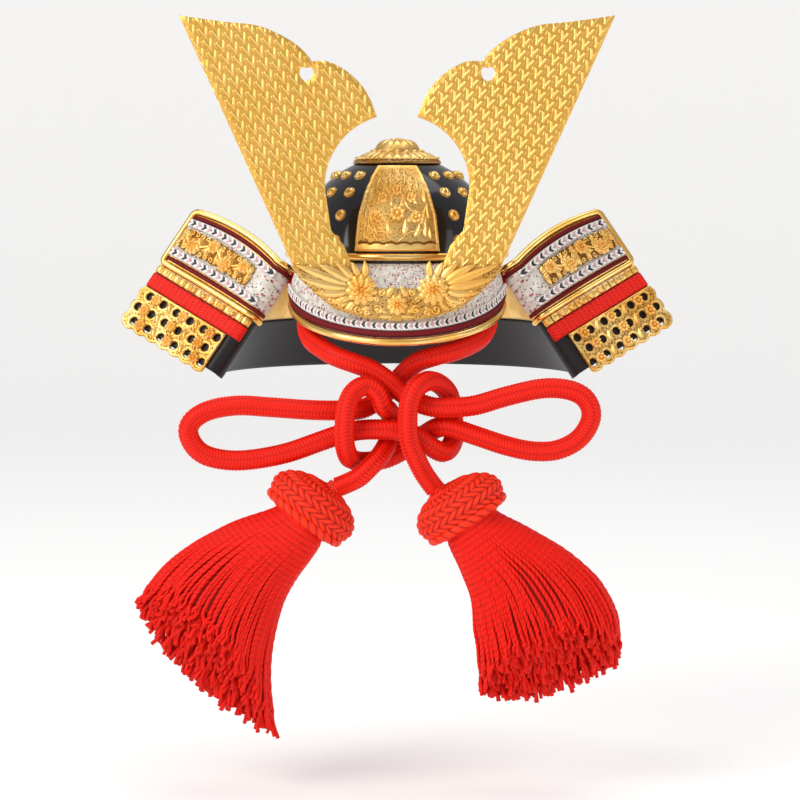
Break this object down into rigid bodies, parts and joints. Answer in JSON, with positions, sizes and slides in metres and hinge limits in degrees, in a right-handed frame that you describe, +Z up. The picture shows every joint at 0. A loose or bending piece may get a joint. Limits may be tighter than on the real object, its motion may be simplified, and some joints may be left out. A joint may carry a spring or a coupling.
{
  "type": "ornamental samurai helmet",
  "caption": "Miniature samurai helmet: lacquered bowl, flat gilt horns, brim, neck guard with turned-back ends, red chin cord tied in a bow with tassels.",
  "frame": {"origin": "centre of the bowl's opening at brow level, where a head would sit", "axes": "+Z up, -Y to the front, +X to the right as seen from the front"},
  "size_m": [0.2004, 0.1352, 0.255],
  "materials": {
    "black_lacquer": "gloss black lacquer with gilt rivets",
    "gilt_smooth": "smooth polished gilt",
    "gilt_relief": "cast relief, gilt, darker in the hollows",
    "gilt_engraved": "gilt plate engraved with a leaf pattern",
    "lame_gilt": "gilt lames in scale relief",
    "lame_lacquer": "dark lacquer",
    "printed_leather": "white leather printed with small flowers",
    "white_braid": "flat braid, white with black and pink",
    "dark_red_welt": "corded welt",
    "red_lacing": "red silk lacing",
    "red_cord": "braided red silk cord",
    "red_thread": "red silk thread"
  },
  "bodies": {
    "root": {"base_band": "gilt_smooth", "bowl": "black_lacquer", "brim": "printed_leather", "brim_braid": "white_braid", "brim_rim": "gilt_smooth", "brim_welt": "dark_red_welt", "chin_cord_left": "red_cord", "chin_cord_right": "red_cord", "crown_finial": "gilt_relief", "front_plate": "gilt_relief", "horn_left": "gilt_engraved", "horn_right": "gilt_engraved", "horn_socket": "gilt_relief", "neck_lacing_1": "red_lacing", "neck_lacing_2": "red_lacing", "neck_lacing_3": "red_lacing", "neck_lacing_4": "red_lacing", "neck_lame_foot": "lame_lacquer", "neck_lame_top": "lame_gilt", "pierced_plate_left": "gilt_relief", "pierced_plate_right": "gilt_relief", "scale_heads_left": "gilt_relief", "scale_heads_right": "gilt_relief", "tassel_left": "red_thread", "tassel_right": "red_thread", "turnback_braid_foot_left": "white_braid", "turnback_braid_foot_right": "white_braid", "turnback_braid_top_left": "white_braid", "turnback_braid_top_right": "white_braid", "turnback_lacing_left": "red_lacing", "turnback_lacing_right": "red_lacing", "turnback_leather_left": "printed_leather", "turnback_leather_right": "printed_leather", "turnback_rim_left": "gilt_smooth", "turnback_rim_right": "gilt_smooth", "turnback_scroll_left": "gilt_relief", "turnback_scroll_right": "gilt_relief", "turnback_welt_foot_left": "dark_red_welt", "turnback_welt_foot_right": "dark_red_welt", "turnback_welt_top_left": "dark_red_welt", "turnback_welt_top_right": "dark_red_welt"}
  },
  "joints": []
}
